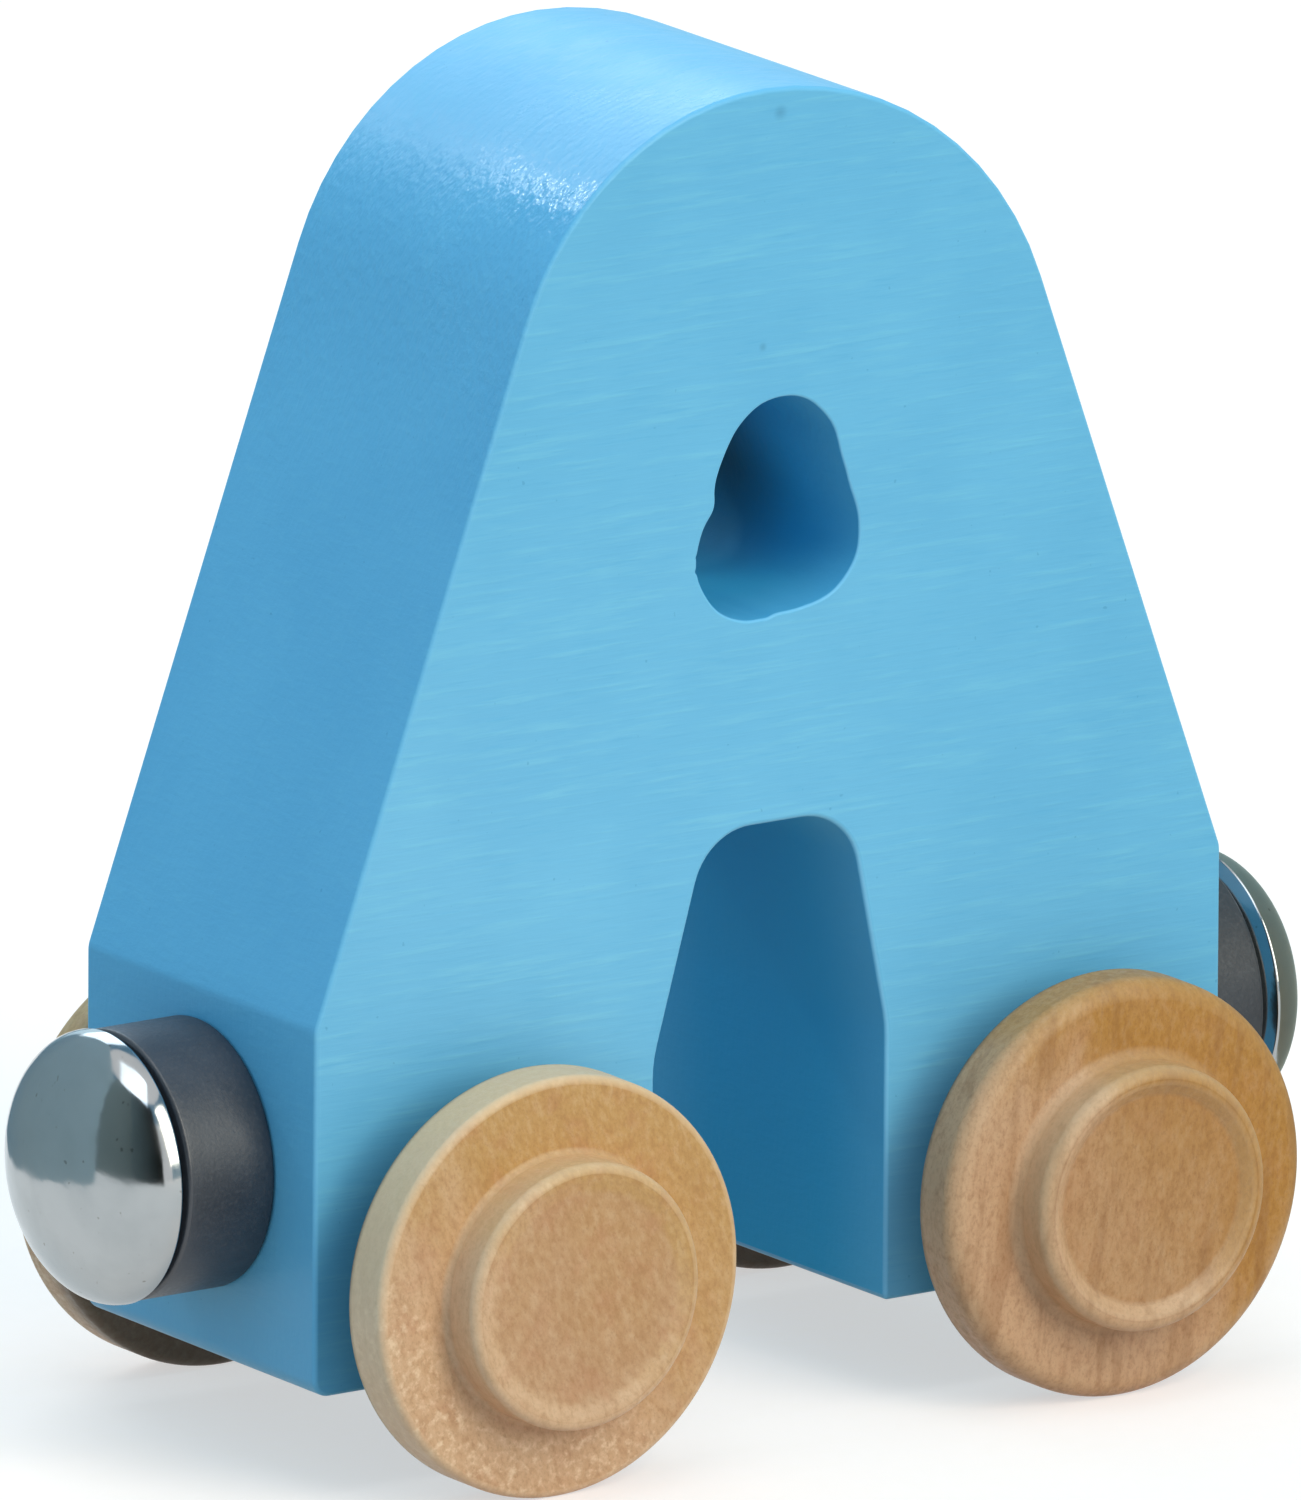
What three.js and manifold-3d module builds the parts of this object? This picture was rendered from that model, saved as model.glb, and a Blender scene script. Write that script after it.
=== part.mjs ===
// A wooden letter train car: a painted plank sawn to a capital letter, standing on two wheelsets,
// with a magnetic coupling at each end.
// X runs along the train, the letter's front faces -Y, Z is up and z = 0 is the track.
import * as THREE from "three";
import { mergeVertices } from "three/addons/utils/BufferGeometryUtils.js";
import Module from "manifold-3d";

// Driving dimensions of the letter, in millimetres, with heights above the letter's foot
const plankThickness = 19.05;
const blockLength = 50.8;
const letterHeight = 58.8;
const leftShoulderHeight = 17.5;
const rightShoulderHeight = 19.2;
const leftCrownReach = 10.45; // where the leaning sides, run on, meet the level of the top
const rightCrownReach = 11.05;
const crownPeakOffset = -0.55; // the top of the crown, from the block's middle
const edgeRounding = 0.5;
const letterShift = 0.3; // the letter's middle lies this far right of the block's middle

// The arch between the legs and the counter above it, both cut with one round cutter
const cutterRadius = 3.175;
const archWidth = 13;
const archKneeHeight = 13.3;
const archHeight = 23.85;
const archTopRun = 2.9; // travel of the cutter along the arch's top
const counterTopHeight = 40.9; // heights and offsets of the cutter's middle in the counter
const counterTopOffset = 0.15;
const counterRightHeight = 37.15;
const counterRightOffset = 1.35;
const counterLeftHeight = 36.85;
const counterLeftOffset = -1.4;
const counterNotchHeight = 39.95;
const counterNotchOffset = -0.4;

// Wheels and axles
const wheelRadius = 10;
const flangeThickness = 2.9;
const flangeInnerRounding = 0.4;
const flangeOuterRounding = 0.9;
const hubRadius = 6.35;
const hubHeight = 2.25;
const hubRounding = 0.5;
const hubRimWidth = 1.1; // ring of the hub's face around its dish
const hubDishSlope = 0.35; // radial run of the dish's wall
const leftHubDish = 0.12;
const rightHubDish = 0.45;
const hubCove = 0.5; // hollow fillet at the foot of the hub
const axleHeight = 5.2;
const axleRadius = 2.38;
const axleClearance = 0.4;
const axleSocketDepth = 3.6;
const glueGap = 0.1;
const wheelGap = 2.9; // from the letter's face to the wheel

// Magnetic couplings: a ring magnet held to each end by a nail with a pressed cap
const couplingHeight = 9.75;
const magnetRadius = 6.35;
const magnetLength = 4.76;
const magnetChamfer = 0.3;
const magnetHoleClearance = 0.3;
const seatGap = 0.05;
const capSeam = 0.12;
const capRadius = 6.45;
const capRimRadius = 0.65;
const capCrownHeight = 3.25;
const capWall = 0.6;
const nailRadius = 1.3;
const nailDepth = 7.9;
const nailPointLength = 2;
const nailHeadThickness = 0.9;
const nailFit = 0.1;

// Smoothness of the round surfaces
const wheelSides = 36;
const couplingSides = 32;
const boreSides = 24;
const outlineSteps = 10;
const profileSteps = 2;
const capSteps = 3;
const roundingSteps = 2;
const mergeDistance = 1e-4;

// Places worked out from the sizes
const footHeight = wheelRadius - axleHeight; // above the track
const halfLength = blockLength / 2;
const halfPlank = plankThickness / 2;
const cutterOverrun = 1; // how far a cut runs past the faces

const wasm = await Module();
wasm.setup();

function solid(geometry) {
  const bare = new THREE.BufferGeometry();
  bare.setAttribute("position", geometry.getAttribute("position"));
  bare.setIndex(geometry.getIndex());
  const merged = mergeVertices(bare, mergeDistance);
  const triVerts = new Uint32Array(merged.index.array);
  const vertProperties = merged.attributes.position.array;
  return new wasm.Manifold(new wasm.Mesh({ numProp: 3, vertProperties, triVerts }));
}

function geometryOf(body) {
  const mesh = body.getMesh();
  const geometry = new THREE.BufferGeometry();
  geometry.setAttribute("position", new THREE.BufferAttribute(mesh.vertProperties, 3));
  geometry.setIndex(new THREE.BufferAttribute(mesh.triVerts, 1));
  geometry.computeVertexNormals();
  return geometry;
}

// The point where a line from outside touches a circle; turn is 1 or -1 for the two ways round
function tangentPoint(from, centre, radius, turn) {
  const away = from.clone().sub(centre);
  const angle = away.angle() + turn * Math.acos(radius / away.length());
  return new THREE.Vector2(Math.cos(angle), Math.sin(angle)).multiplyScalar(radius).add(centre);
}

function angleAt(point, centre) {
  return point.clone().sub(centre).angle();
}

// The half of the crown on one side: an arc from the peak that runs into the leaning side
function crownArc(side, shoulderHeight, reach) {
  const lean = Math.atan2(halfLength - reach, letterHeight - shoulderHeight);
  const run = reach - side * crownPeakOffset;
  const radius = run / (1 / Math.cos(lean) - Math.tan(lean));
  return { lean, radius, middle: letterHeight - radius };
}

function letterOutline() {
  const leftTop = new THREE.Vector2(letterShift - archTopRun / 2, archHeight - cutterRadius);
  const rightTop = new THREE.Vector2(letterShift + archTopRun / 2, archHeight - cutterRadius);
  const leftKnee = new THREE.Vector2(-archWidth / 2, archKneeHeight);
  const rightKnee = new THREE.Vector2(archWidth / 2, archKneeHeight);
  const leftTouch = tangentPoint(leftKnee, leftTop, cutterRadius, -1);
  const rightTouch = tangentPoint(rightKnee, rightTop, cutterRadius, 1);
  const left = crownArc(-1, leftShoulderHeight, leftCrownReach);
  const right = crownArc(1, rightShoulderHeight, rightCrownReach);
  const outline = new THREE.Shape();
  outline.moveTo(-halfLength, 0);
  outline.lineTo(leftKnee.x, 0);
  outline.lineTo(leftKnee.x, leftKnee.y);
  outline.absarc(leftTop.x, leftTop.y, cutterRadius, angleAt(leftTouch, leftTop), Math.PI / 2, true);
  outline.absarc(rightTop.x, rightTop.y, cutterRadius, Math.PI / 2, angleAt(rightTouch, rightTop), true);
  outline.lineTo(rightKnee.x, rightKnee.y);
  outline.lineTo(rightKnee.x, 0);
  outline.lineTo(halfLength, 0);
  outline.lineTo(halfLength, rightShoulderHeight);
  outline.absarc(crownPeakOffset, right.middle, right.radius, right.lean, Math.PI / 2, false);
  outline.absarc(crownPeakOffset, left.middle, left.radius, Math.PI / 2, Math.PI - left.lean, false);
  outline.lineTo(-halfLength, leftShoulderHeight);
  outline.closePath();
  return outline;
}

// The track that the round cutter leaves between two places
function cutterTrack(from, to) {
  const angle = angleAt(to, from);
  const track = new THREE.Shape();
  track.absarc(to.x, to.y, cutterRadius, angle - Math.PI / 2, angle + Math.PI / 2, false);
  track.absarc(from.x, from.y, cutterRadius, angle + Math.PI / 2, angle + Math.PI * 1.5, false);
  track.closePath();
  return track;
}

// Stands an outline up in the XZ plane, centred on y = 0, with its heights above the foot
function plank(outline, thickness, rounding) {
  const depth = thickness - 2 * rounding;
  const geometry = new THREE.ExtrudeGeometry(outline, {
    depth,
    curveSegments: outlineSteps,
    bevelEnabled: rounding > 0,
    bevelThickness: rounding,
    bevelSize: rounding,
    bevelOffset: -rounding,
    bevelSegments: roundingSteps,
  });
  return geometry.translate(0, 0, -depth / 2).rotateX(Math.PI / 2).translate(0, 0, footHeight);
}

function counterCuts() {
  const place = (offset, height) => new THREE.Vector2(letterShift + offset, height);
  const top = place(counterTopOffset, counterTopHeight);
  const right = place(counterRightOffset, counterRightHeight);
  const left = place(counterLeftOffset, counterLeftHeight);
  const notch = place(counterNotchOffset, counterNotchHeight);
  const legs = [
    [top, right],
    [right, left],
    [top, notch],
  ];
  const depth = plankThickness + 2 * cutterOverrun;
  return legs.map(([from, to]) => solid(plank(cutterTrack(from, to), depth, 0)));
}

function axleBore(x) {
  const length = plankThickness + 2 * cutterOverrun;
  const bore = new THREE.CylinderGeometry(
    axleRadius + axleClearance, axleRadius + axleClearance, length, boreSides);
  return solid(bore.translate(x, 0, wheelRadius));
}

function nailHole(side) {
  const length = nailDepth + nailFit + cutterOverrun;
  const hole = new THREE.CylinderGeometry(nailRadius + nailFit, nailRadius + nailFit, length, boreSides);
  const middle = halfLength + cutterOverrun - length / 2;
  return solid(hole.rotateZ(Math.PI / 2).translate(side * middle, 0, footHeight + couplingHeight));
}

function letterBody() {
  let body = solid(plank(letterOutline(), plankThickness, edgeRounding));
  const cuts = counterCuts();
  for (const side of [-1, 1]) {
    cuts.push(axleBore(axleX(side)));
    cuts.push(nailHole(side));
  }
  for (const cut of cuts) {
    body = body.subtract(cut);
  }
  return geometryOf(body);
}

// Each axle runs through the middle of its leg
function axleX(side) {
  return letterShift + (side * (halfLength + archWidth / 2)) / 2;
}

// A turned profile from its inner face at height 0 outwards, around the Y axis
function wheel(hubDish) {
  const socketRadius = axleRadius + glueGap;
  const face = flangeThickness + hubHeight;
  const dishEdge = hubRadius - hubRimWidth;
  const profile = new THREE.Path();
  profile.moveTo(0, axleSocketDepth);
  profile.lineTo(socketRadius, axleSocketDepth);
  profile.lineTo(socketRadius, 0);
  profile.absarc(wheelRadius - flangeInnerRounding, flangeInnerRounding, flangeInnerRounding,
    -Math.PI / 2, 0, false);
  profile.absarc(wheelRadius - flangeOuterRounding, flangeThickness - flangeOuterRounding,
    flangeOuterRounding, 0, Math.PI / 2, false);
  profile.absarc(hubRadius + hubCove, flangeThickness + hubCove, hubCove, -Math.PI / 2, -Math.PI, true);
  profile.absarc(hubRadius - hubRounding, face - hubRounding, hubRounding, 0, Math.PI / 2, false);
  profile.lineTo(dishEdge, face);
  profile.lineTo(dishEdge - hubDishSlope, face - hubDish);
  profile.lineTo(0, face - hubDish);
  return new THREE.LatheGeometry(profile.getPoints(profileSteps), wheelSides);
}

function axle() {
  const length = 2 * (halfPlank + wheelGap + axleSocketDepth - glueGap);
  return new THREE.CylinderGeometry(axleRadius, axleRadius, length, boreSides);
}

// Coupling pieces stand on the block's end, which is height 0, around the Y axis
const capSeat = seatGap + magnetLength + capSeam;
const capMouthRadius = capRadius - capRimRadius - capWall;

function magnet() {
  const hole = nailRadius + magnetHoleClearance;
  const top = seatGap + magnetLength;
  const profile = [
    [hole, seatGap],
    [magnetRadius - magnetChamfer, seatGap],
    [magnetRadius, seatGap + magnetChamfer],
    [magnetRadius, top - magnetChamfer],
    [magnetRadius - magnetChamfer, top],
    [hole, top],
    [hole, seatGap],
  ];
  return new THREE.LatheGeometry(profile.map(([r, y]) => new THREE.Vector2(r, y)), couplingSides);
}

function cap() {
  const shoulder = capSeat + capRimRadius;
  const rimMiddle = capRadius - capRimRadius;
  const profile = new THREE.Path();
  profile.moveTo(capMouthRadius, shoulder);
  profile.lineTo(capMouthRadius, capSeat);
  profile.absarc(rimMiddle, shoulder, capRimRadius, -Math.PI / 2, 0, false);
  profile.absellipse(0, shoulder, capRadius, capCrownHeight, 0, Math.PI / 2, false);
  profile.absellipse(0, shoulder, capMouthRadius, capCrownHeight - capWall, Math.PI / 2, 0, true);
  return new THREE.LatheGeometry(profile.getPoints(capSteps), couplingSides);
}

function nail() {
  const headRadius = capMouthRadius - nailFit;
  const profile = [
    [0, -nailDepth],
    [nailRadius, nailPointLength - nailDepth],
    [nailRadius, capSeat],
    [headRadius, capSeat],
    [headRadius, capSeat + nailHeadThickness],
    [0, capSeat + nailHeadThickness],
  ];
  return new THREE.LatheGeometry(profile.map(([r, y]) => new THREE.Vector2(r, y)), couplingSides);
}

const paint = new THREE.MeshStandardMaterial({ color: 0x62b4dd, roughness: 0.35, metalness: 0 });
const maple = new THREE.MeshStandardMaterial({ color: 0xd8ad78, roughness: 0.6, metalness: 0 });
const dowelWood = new THREE.MeshStandardMaterial({ color: 0xcfa873, roughness: 0.65, metalness: 0 });
const ferrite = new THREE.MeshStandardMaterial({ color: 0x45464f, roughness: 0.5, metalness: 0.3 });
const chrome = new THREE.MeshStandardMaterial({ color: 0xd4d6d8, roughness: 0.12, metalness: 1 });
const steel = new THREE.MeshStandardMaterial({ color: 0xa3a5a8, roughness: 0.35, metalness: 1 });

function piece(name, geometry, material) {
  const mesh = new THREE.Mesh(geometry, material);
  mesh.name = name;
  return mesh;
}

function wheelset(name, side, hubDish) {
  const group = new THREE.Group();
  group.position.set(axleX(side), 0, wheelRadius);
  group.add(piece(`${name}_axle`, axle(), dowelWood));
  const back = piece(`back_${name}_wheel`, wheel(hubDish), maple);
  back.position.y = halfPlank + wheelGap;
  const front = piece(`front_${name}_wheel`, wheel(hubDish), maple);
  front.position.y = -back.position.y;
  front.rotation.z = Math.PI;
  group.add(back, front);
  return group;
}

function coupling(name, side) {
  const group = new THREE.Group();
  group.position.set(side * halfLength, 0, footHeight + couplingHeight);
  group.rotation.z = (-side * Math.PI) / 2;
  group.add(piece(`${name}_magnet`, magnet(), ferrite));
  group.add(piece(`${name}_cap`, cap(), chrome));
  group.add(piece(`${name}_nail`, nail(), steel));
  return group;
}

const car = new THREE.Group();
car.add(piece("letter_body", letterBody(), paint));
car.add(wheelset("left", -1, leftHubDish));
car.add(wheelset("right", 1, rightHubDish));
car.add(coupling("left", -1));
car.add(coupling("right", 1));

export default car;
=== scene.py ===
"""Looks of a painted wooden letter train car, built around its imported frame, in metres."""

import math

import bpy
from mathutils import Matrix, Vector
from mathutils.geometry import delaunay_2d_cdt


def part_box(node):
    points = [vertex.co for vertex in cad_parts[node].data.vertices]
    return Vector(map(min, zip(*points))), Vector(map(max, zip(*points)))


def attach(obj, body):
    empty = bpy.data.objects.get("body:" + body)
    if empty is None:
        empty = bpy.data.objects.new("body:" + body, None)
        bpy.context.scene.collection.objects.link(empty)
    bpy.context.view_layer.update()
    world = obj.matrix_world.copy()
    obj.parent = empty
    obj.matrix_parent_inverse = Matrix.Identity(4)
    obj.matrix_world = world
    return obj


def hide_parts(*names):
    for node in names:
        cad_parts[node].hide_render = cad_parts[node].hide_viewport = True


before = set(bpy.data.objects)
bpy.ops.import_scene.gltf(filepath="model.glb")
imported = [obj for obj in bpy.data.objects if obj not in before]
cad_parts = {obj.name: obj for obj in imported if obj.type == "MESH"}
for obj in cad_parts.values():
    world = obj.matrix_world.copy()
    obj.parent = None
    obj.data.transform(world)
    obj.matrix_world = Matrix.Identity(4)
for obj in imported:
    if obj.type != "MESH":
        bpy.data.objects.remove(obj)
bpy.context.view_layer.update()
MM = 0.001

# Camera fitted to the straight edges in the photograph
VIEW_AZIMUTH = math.radians(-34.40)
VIEW_ELEVATION = math.radians(14.36)
VIEW_ROLL = math.radians(0.338)
VIEW_TARGET = Vector((-0.21, 0.17, 30.08)) * MM
VIEW_DISTANCE = 2.0
VIEW_LENS = 1034.6
VIEW_SENSOR = 36
VIEW_LIMIT = 20

# Letter: the block's box comes from the frame, and heights run from its foot
LETTER_LOW, LETTER_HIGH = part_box("letter_body")
FOOT = LETTER_LOW.z
HALF_LENGTH = (LETTER_HIGH.x - LETTER_LOW.x) / 2
HALF_PLANK = (LETTER_HIGH.y - LETTER_LOW.y) / 2
LETTER_HEIGHT = LETTER_HIGH.z - FOOT
LEFT_SHOULDER = 17.5 * MM
RIGHT_SHOULDER = 19.2 * MM
LEFT_REACH = 10.45 * MM
RIGHT_REACH = 11.05 * MM
CROWN_PEAK = -0.55 * MM
LETTER_SHIFT = 0.3 * MM
CUTTER_RADIUS = 3.175 * MM
ARCH_HALF = 6.5 * MM
ARCH_KNEE = 13.3 * MM
ARCH_HEIGHT = 23.85 * MM
ARCH_TOP_LEFT = -3.56 * MM
ARCH_TOP_RIGHT = 4.34 * MM
KNEE_RADIUS = 6 * MM
FOOT_RADIUS = 0.9 * MM
LEG_RADIUS = 0.3 * MM
SHOULDER_RADIUS = 1.3 * MM
OUTER_ROUNDING = 0.25 * MM
COUNTER_ROUNDING = 0.16 * MM
BORE_ROUNDING = 0.15 * MM
# Counter: places where the cutter turns or stops, and the middle that its outline is found from
COUNTER_TOP = Vector((0.15, 40.9)) * MM
COUNTER_RIGHT = Vector((1.35, 37.15)) * MM
COUNTER_LEFT = Vector((-1.4, 36.85)) * MM
COUNTER_NOTCH = Vector((-0.4, 39.95)) * MM
COUNTER_MIDDLE = Vector((0, 38.4)) * MM
COUNTER_REACH = 4 * CUTTER_RADIUS
CUSP_SOFTNESS = 0.5 * MM
# The arch and the counter lie below this height
SAWN_HEIGHT = 46 * MM
# Ripple in the counter's walls: its size, and the number of waves and the phase of each part
COUNTER_WOBBLE = 0.015 * MM
COUNTER_RIPPLES = ((9, 1), (14, 2))
# Nicks in the counter's front edge: angle from its middle and width in degrees, and depth
COUNTER_NICKS = ((-156.5, 1.3, 0.08 * MM), (-164, 1.2, 0.05 * MM), (-98, 4, 0.08 * MM))
# Lean of the arch's right wall towards the back, and how far beside it the lean dies out
ARCH_LEAN = 0.35 * MM
LEAN_FADE = 3 * MM
BORE_CLEARANCE = 0.4 * MM

# Fineness of the meshes
STRAIGHT_STEP = 1.2 * MM
TURNED_STEP = 0.45 * MM
TINY = 1e-7
ARC_STEP = math.radians(6)
ROUNDING_STEPS = 6
COUNTER_POINTS = 360
COUNTER_HALVINGS = 40
BORE_SIDES = 48
LATHE_SIDES = 144
# Half angle above which a corner counts as straight, and angle above which a turned edge is a crease
STRAIGHT_HALF = math.radians(89.9)
CREASE_ANGLE = math.radians(35)
# A turned edge of this radius or less is marked as fully worn
WORN_RADIUS = 0.5 * MM
# How flat faces are filled: only inside their outlines, with points nearer than this, in mm, as one
FILL_INSIDE = 1
FILL_NEARNESS = 1e-6


def rounded_path(corners, closed=True):
    """Points along a path of (x, y, radius) corners, each corner turned into an arc."""
    places = [Vector(c[:2]) for c in corners]
    count = len(corners)
    points = []
    for i, here in enumerate(places):
        radius = corners[i][2]
        if not closed and i in (0, count - 1):
            points.append(here)
            continue
        before = (places[i - 1] - here).normalized()
        after = (places[(i + 1) % count] - here).normalized()
        half_angle = before.angle(after) / 2
        if radius == 0 or half_angle > STRAIGHT_HALF:
            points.append(here)
            continue
        middle = here + (before + after).normalized() * (radius / math.sin(half_angle))
        start = here + before * (radius / math.tan(half_angle)) - middle
        turn = math.pi - 2 * half_angle
        sign = 1 if before.cross(after) < 0 else -1
        steps = max(2, round(turn / ARC_STEP))
        for k in range(steps + 1):
            spin = Matrix.Rotation(sign * turn * k / steps, 2)
            points.append(middle + spin @ start)
    return points


def subdivided(points, step, closed=True):
    """A path with its long straight runs cut into steps."""
    result = []
    for here, ahead in zip(points, points[1:] + (points[:1] if closed else [])):
        length = (ahead - here).length
        if length < TINY:
            continue
        cuts = max(1, round(length / step))
        result.extend(here.lerp(ahead, k / cuts) for k in range(cuts))
    return result if closed else result + points[-1:]


def crown_radius(shoulder, reach, run):
    """Radius of the arc that fills the corner between a leaning side and the top."""
    lean = math.atan2(HALF_LENGTH - reach, LETTER_HEIGHT - shoulder)
    return run / (1 / math.cos(lean) - math.tan(lean))


def letter_outline():
    """The letter's outer outline, anticlockwise, with heights above the foot."""
    right_crown = crown_radius(RIGHT_SHOULDER, RIGHT_REACH, RIGHT_REACH - CROWN_PEAK)
    left_crown = crown_radius(LEFT_SHOULDER, LEFT_REACH, LEFT_REACH + CROWN_PEAK)
    corners = [
        (-HALF_LENGTH, 0, FOOT_RADIUS),
        (-ARCH_HALF, 0, LEG_RADIUS),
        (-ARCH_HALF, ARCH_KNEE, KNEE_RADIUS),
        (ARCH_TOP_LEFT, ARCH_HEIGHT, CUTTER_RADIUS),
        (ARCH_TOP_RIGHT, ARCH_HEIGHT, CUTTER_RADIUS),
        (ARCH_HALF, ARCH_KNEE, KNEE_RADIUS),
        (ARCH_HALF, 0, LEG_RADIUS),
        (HALF_LENGTH, 0, FOOT_RADIUS),
        (HALF_LENGTH, RIGHT_SHOULDER, SHOULDER_RADIUS),
        (RIGHT_REACH, LETTER_HEIGHT, right_crown),
        (-LEFT_REACH, LETTER_HEIGHT, left_crown),
        (-HALF_LENGTH, LEFT_SHOULDER, SHOULDER_RADIUS),
    ]
    return subdivided(rounded_path(corners), STRAIGHT_STEP)


def track_distance(point, start, end):
    """Distance from a point to the edge of the cutter's track between two places."""
    along = end - start
    share = (point - start).dot(along) / along.length_squared
    nearest = start + along * min(1, max(0, share))
    return (point - nearest).length - CUTTER_RADIUS


def counter_distance(point):
    """Distance to the edge of the counter, with the cusp between its lower tracks worn soft."""
    right = track_distance(point, COUNTER_TOP, COUNTER_RIGHT)
    floor = track_distance(point, COUNTER_RIGHT, COUNTER_LEFT)
    notch = track_distance(point, COUNTER_TOP, COUNTER_NOTCH)
    overlap = max(0, CUSP_SOFTNESS - abs(floor - notch))
    edge_lighting = min(floor, notch) - overlap**2 / (4 * CUSP_SOFTNESS)
    return min(right, edge_lighting)


def counter_outline(nicks):
    """The counter's outline, clockwise, found along rays from its middle, with nicks in its edge."""
    points = []
    for i in range(COUNTER_POINTS):
        angle = -2 * math.pi * i / COUNTER_POINTS
        ray = Vector((math.cos(angle), math.sin(angle)))
        inside, outside = 0, COUNTER_REACH
        for _ in range(COUNTER_HALVINGS):
            half = (inside + outside) / 2
            if counter_distance(COUNTER_MIDDLE + ray * half) < 0:
                inside = half
            else:
                outside = half
        waves = sum(math.sin(count * angle + phase) for count, phase in COUNTER_RIPPLES)
        rough = COUNTER_WOBBLE * waves
        for nick, width, depth in nicks:
            apart = math.degrees(angle - math.radians(nick)) % 360
            rough += depth * math.exp(-(min(apart, 360 - apart) / width) ** 2)
        points.append(COUNTER_MIDDLE + ray * (inside + rough) + Vector((LETTER_SHIFT, 0)))
    return points


def circle_outline(x, z, radius):
    """A round hole's outline, clockwise."""
    angles = [-2 * math.pi * i / BORE_SIDES for i in range(BORE_SIDES)]
    return [Vector((x + radius * math.cos(a), z + radius * math.sin(a))) for a in angles]


def outward(points):
    """Unit normals of a closed outline, pointing away from the material on its left."""
    normals = []
    count = len(points)
    for i in range(count):
        back = (points[i] - points[i - 1]).normalized()
        ahead = (points[(i + 1) % count] - points[i]).normalized()
        along = (back + ahead).normalized()
        normals.append(Vector((along.y, -along.x)))
    return normals


def new_piece(name, vertices, faces, normals=None, **marks):
    """A mesh object with its own vertex normals and marks, one number a vertex, for its finish."""
    mesh = bpy.data.meshes.new(name)
    mesh.from_pydata(vertices, [], faces)
    mesh.validate()
    mesh.shade_smooth()
    for mark, values in marks.items():
        mesh.attributes.new(mark, "FLOAT", "POINT").data.foreach_set("value", values)
    if normals:
        mesh.normals_split_custom_set_from_vertices(normals)
    piece = bpy.data.objects.new(name, mesh)
    bpy.context.scene.collection.objects.link(piece)
    return piece


def place_piece(piece, node, body, material):
    """Puts a finished piece on its body in place of its CAD node."""
    piece.data.materials.append(material)
    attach(piece, body)
    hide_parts(node)
    return piece


def leaned(point):
    """A point of the outer outline at the back face, where the arch's right wall leans over."""
    beside = 1 - max(0, point.x - ARCH_HALF) / LEAN_FADE
    top = ARCH_HEIGHT - CUTTER_RADIUS
    above = (top - point.y) / (top - ARCH_KNEE)
    share = max(0, min(1, beside, above)) * (point.x > 0)
    return point - Vector((ARCH_LEAN * share, 0))


def filled(vertices, rings):
    """Triangles of a flat face in the x-z plane, inside its first ring and outside the others."""
    index = [i for ring in rings for i in ring]
    flat = [Vector((vertices[i][0], vertices[i][2])) / MM for i in index]
    loops, start = [], 0
    for ring in rings:
        loop = list(range(start, start + len(ring)))
        loops.append(loop[::-1] if loops else loop)
        start += len(ring)
    made = delaunay_2d_cdt(flat, [], loops, FILL_INSIDE, FILL_NEARNESS)
    _, _, triangles, origins, _, owners = made
    kept = [t for t, owner in zip(triangles, owners) if owner == [0]]
    return [[index[origins[i][0]] for i in triangle] for triangle in kept]


def letter_outlines():
    """Each outline of the plank on its front and its back, and the rounding of its edges."""
    outer = letter_outline()
    outlines = [
        (outer, [leaned(point) for point in outer], OUTER_ROUNDING),
        (counter_outline(COUNTER_NICKS), counter_outline(()), COUNTER_ROUNDING),
    ]
    for name in ("left_axle", "right_axle"):
        low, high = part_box(name)
        middle = (low + high) / 2
        radius = (high.z - low.z) / 2 + BORE_CLEARANCE
        bore = circle_outline(middle.x, middle.z - FOOT, radius)
        outlines.append((bore, bore, BORE_ROUNDING))
    return outlines


def letter_mesh():
    """The sawn plank: walls around every outline, rounded edges and two flat faces."""
    vertices, normals, edges, cuts, walls, faces = [], [], [], [], [], []
    face_rings = {-1: [], 1: []}
    for front, back, rounding in letter_outlines():
        sawn = [float(abs(p.x) < ARCH_HALF + TINY and 0 < p.y < SAWN_HEIGHT) for p in front]
        rings = []
        for side, points in ((-1, front), (1, back)):
            outs = outward(points)
            for k in range(ROUNDING_STEPS + 1):
                angle = math.pi / 2 * (k if side == 1 else ROUNDING_STEPS - k) / ROUNDING_STEPS
                inset = rounding * (1 - math.cos(angle))
                depth = side * (HALF_PLANK - rounding * (1 - math.sin(angle)))
                ring = []
                for point, out, cut in zip(points, outs, sawn):
                    spot = point - out * inset
                    ring.append(len(vertices))
                    vertices.append((spot.x, depth, spot.y + FOOT))
                    flat = out * math.cos(angle)
                    normals.append((flat.x, side * math.sin(angle), flat.y))
                    edges.append(math.sin(2 * angle))
                    cuts.append(cut * math.cos(angle))
                    walls.append(math.cos(angle))
                rings.append(ring)
        for near, far in zip(rings, rings[1:]):
            for i in range(len(near)):
                j = (i + 1) % len(near)
                faces.append((near[j], near[i], far[i], far[j]))
        face_rings[-1].append(rings[0])
        face_rings[1].append(rings[-1])
    for side, rings in face_rings.items():
        for a, b, c in filled(vertices, rings):
            pa, pb, pc = (Vector(vertices[i]) for i in (a, b, c))
            if (pb - pa).cross(pc - pa).y * side < 0:
                a, b = b, a
            faces.append((a, b, c))
    return new_piece("painted_letter", vertices, faces, normals, edge=edges, cut=cuts, wall=walls)


def bends(profile):
    """How sharply a profile turns at each point: towards 1 on outer edges, -1 in hollows."""
    result = [0.0]
    for before, here, after in zip(profile, profile[1:], profile[2:]):
        arriving, leaving = here - before, after - here
        turn = math.atan2(arriving.cross(leaving), arriving.dot(leaving))
        curve = turn * 2 / (arriving.length + leaving.length)
        result.append(max(-1.0, min(1.0, curve * WORN_RADIUS)))
    return result + [0.0]


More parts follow.
